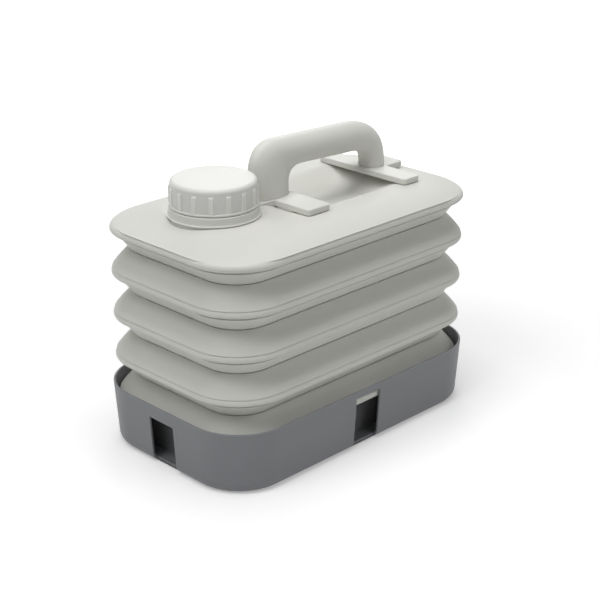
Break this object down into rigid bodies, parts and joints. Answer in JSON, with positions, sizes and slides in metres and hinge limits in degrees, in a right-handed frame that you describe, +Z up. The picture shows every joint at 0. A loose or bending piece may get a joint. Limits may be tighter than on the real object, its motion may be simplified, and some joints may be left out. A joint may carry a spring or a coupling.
{
  "type": "collapsible water carrier",
  "caption": "Rectangular bellows water tank with a bow grip on two brackets, a ribbed screw cap and a slotted tray that it lifts out of; its folds collapse one by one.",
  "frame": {"origin": "on the ground under the middle of the tray", "axes": "+X along the long sides, from the cap to the rear of the grip; +Z up; +Y across"},
  "size_m": [0.3112, 0.1888, 0.2644],
  "materials": {
    "tank_plastic": "soft satin, warm off-white",
    "rigid_plastic": "satin, warm off-white",
    "cap_plastic": "satin, pale off-white",
    "tray_plastic": "satin, mid grey",
    "liner_foam": "matt, white",
    "screw_steel": "zinc-plated"
  },
  "bodies": {
    "tray": {"tray": "tray_plastic"},
    "tank_base": {"tank_foot": "tank_plastic", "web_4": "tank_plastic"},
    "lower_fold": {"fold_4": "tank_plastic", "web_3": "tank_plastic"},
    "middle_fold": {"fold_3": "tank_plastic", "web_2": "tank_plastic"},
    "upper_fold": {"fold_2": "tank_plastic", "web_1": "tank_plastic"},
    "tank_top": {"shoulder": "tank_plastic", "neck": "rigid_plastic", "collar": "rigid_plastic", "front_bracket": "rigid_plastic", "rear_bracket": "rigid_plastic", "grip": "rigid_plastic", "grip_screw_1": "screw_steel", "grip_screw_2": "screw_steel", "grip_screw_3": "screw_steel"},
    "cap_rider": {"cap_liner": "liner_foam"},
    "cap": {"cap": "cap_plastic"}
  },
  "joints": [
    {"name": "tank_lift", "type": "slide", "parent": "tray", "child": "tank_base", "axis": [0, 0, 1], "range_m": [0, 0.06]},
    {"name": "collapse_4", "type": "slide", "parent": "tank_base", "child": "lower_fold", "axis": [0, 0, -1], "range_m": [0, 0.019], "deforming": ["web_4"]},
    {"name": "collapse_3", "type": "slide", "parent": "lower_fold", "child": "middle_fold", "axis": [0, 0, -1], "range_m": [0, 0.019], "deforming": ["web_3"]},
    {"name": "collapse_2", "type": "slide", "parent": "middle_fold", "child": "upper_fold", "axis": [0, 0, -1], "range_m": [0, 0.019], "deforming": ["web_2"]},
    {"name": "collapse_1", "type": "slide", "parent": "upper_fold", "child": "tank_top", "axis": [0, 0, -1], "range_m": [0, 0.019], "deforming": ["web_1"]},
    {"name": "cap_lift", "type": "slide", "parent": "tank_top", "child": "cap_rider", "axis": [0, 0, 1], "range_m": [0, 0.021]},
    {"name": "cap_turn", "type": "hinge", "parent": "cap_rider", "child": "cap", "pos_m": [-0.09, 0, 0.2335], "axis": [0, 0, 1], "range_deg": [0, 1260]}
  ],
  "couplings": [
    {"joint": "cap_lift", "follows": "cap_turn", "m_per_rad": 0.0009549}
  ]
}
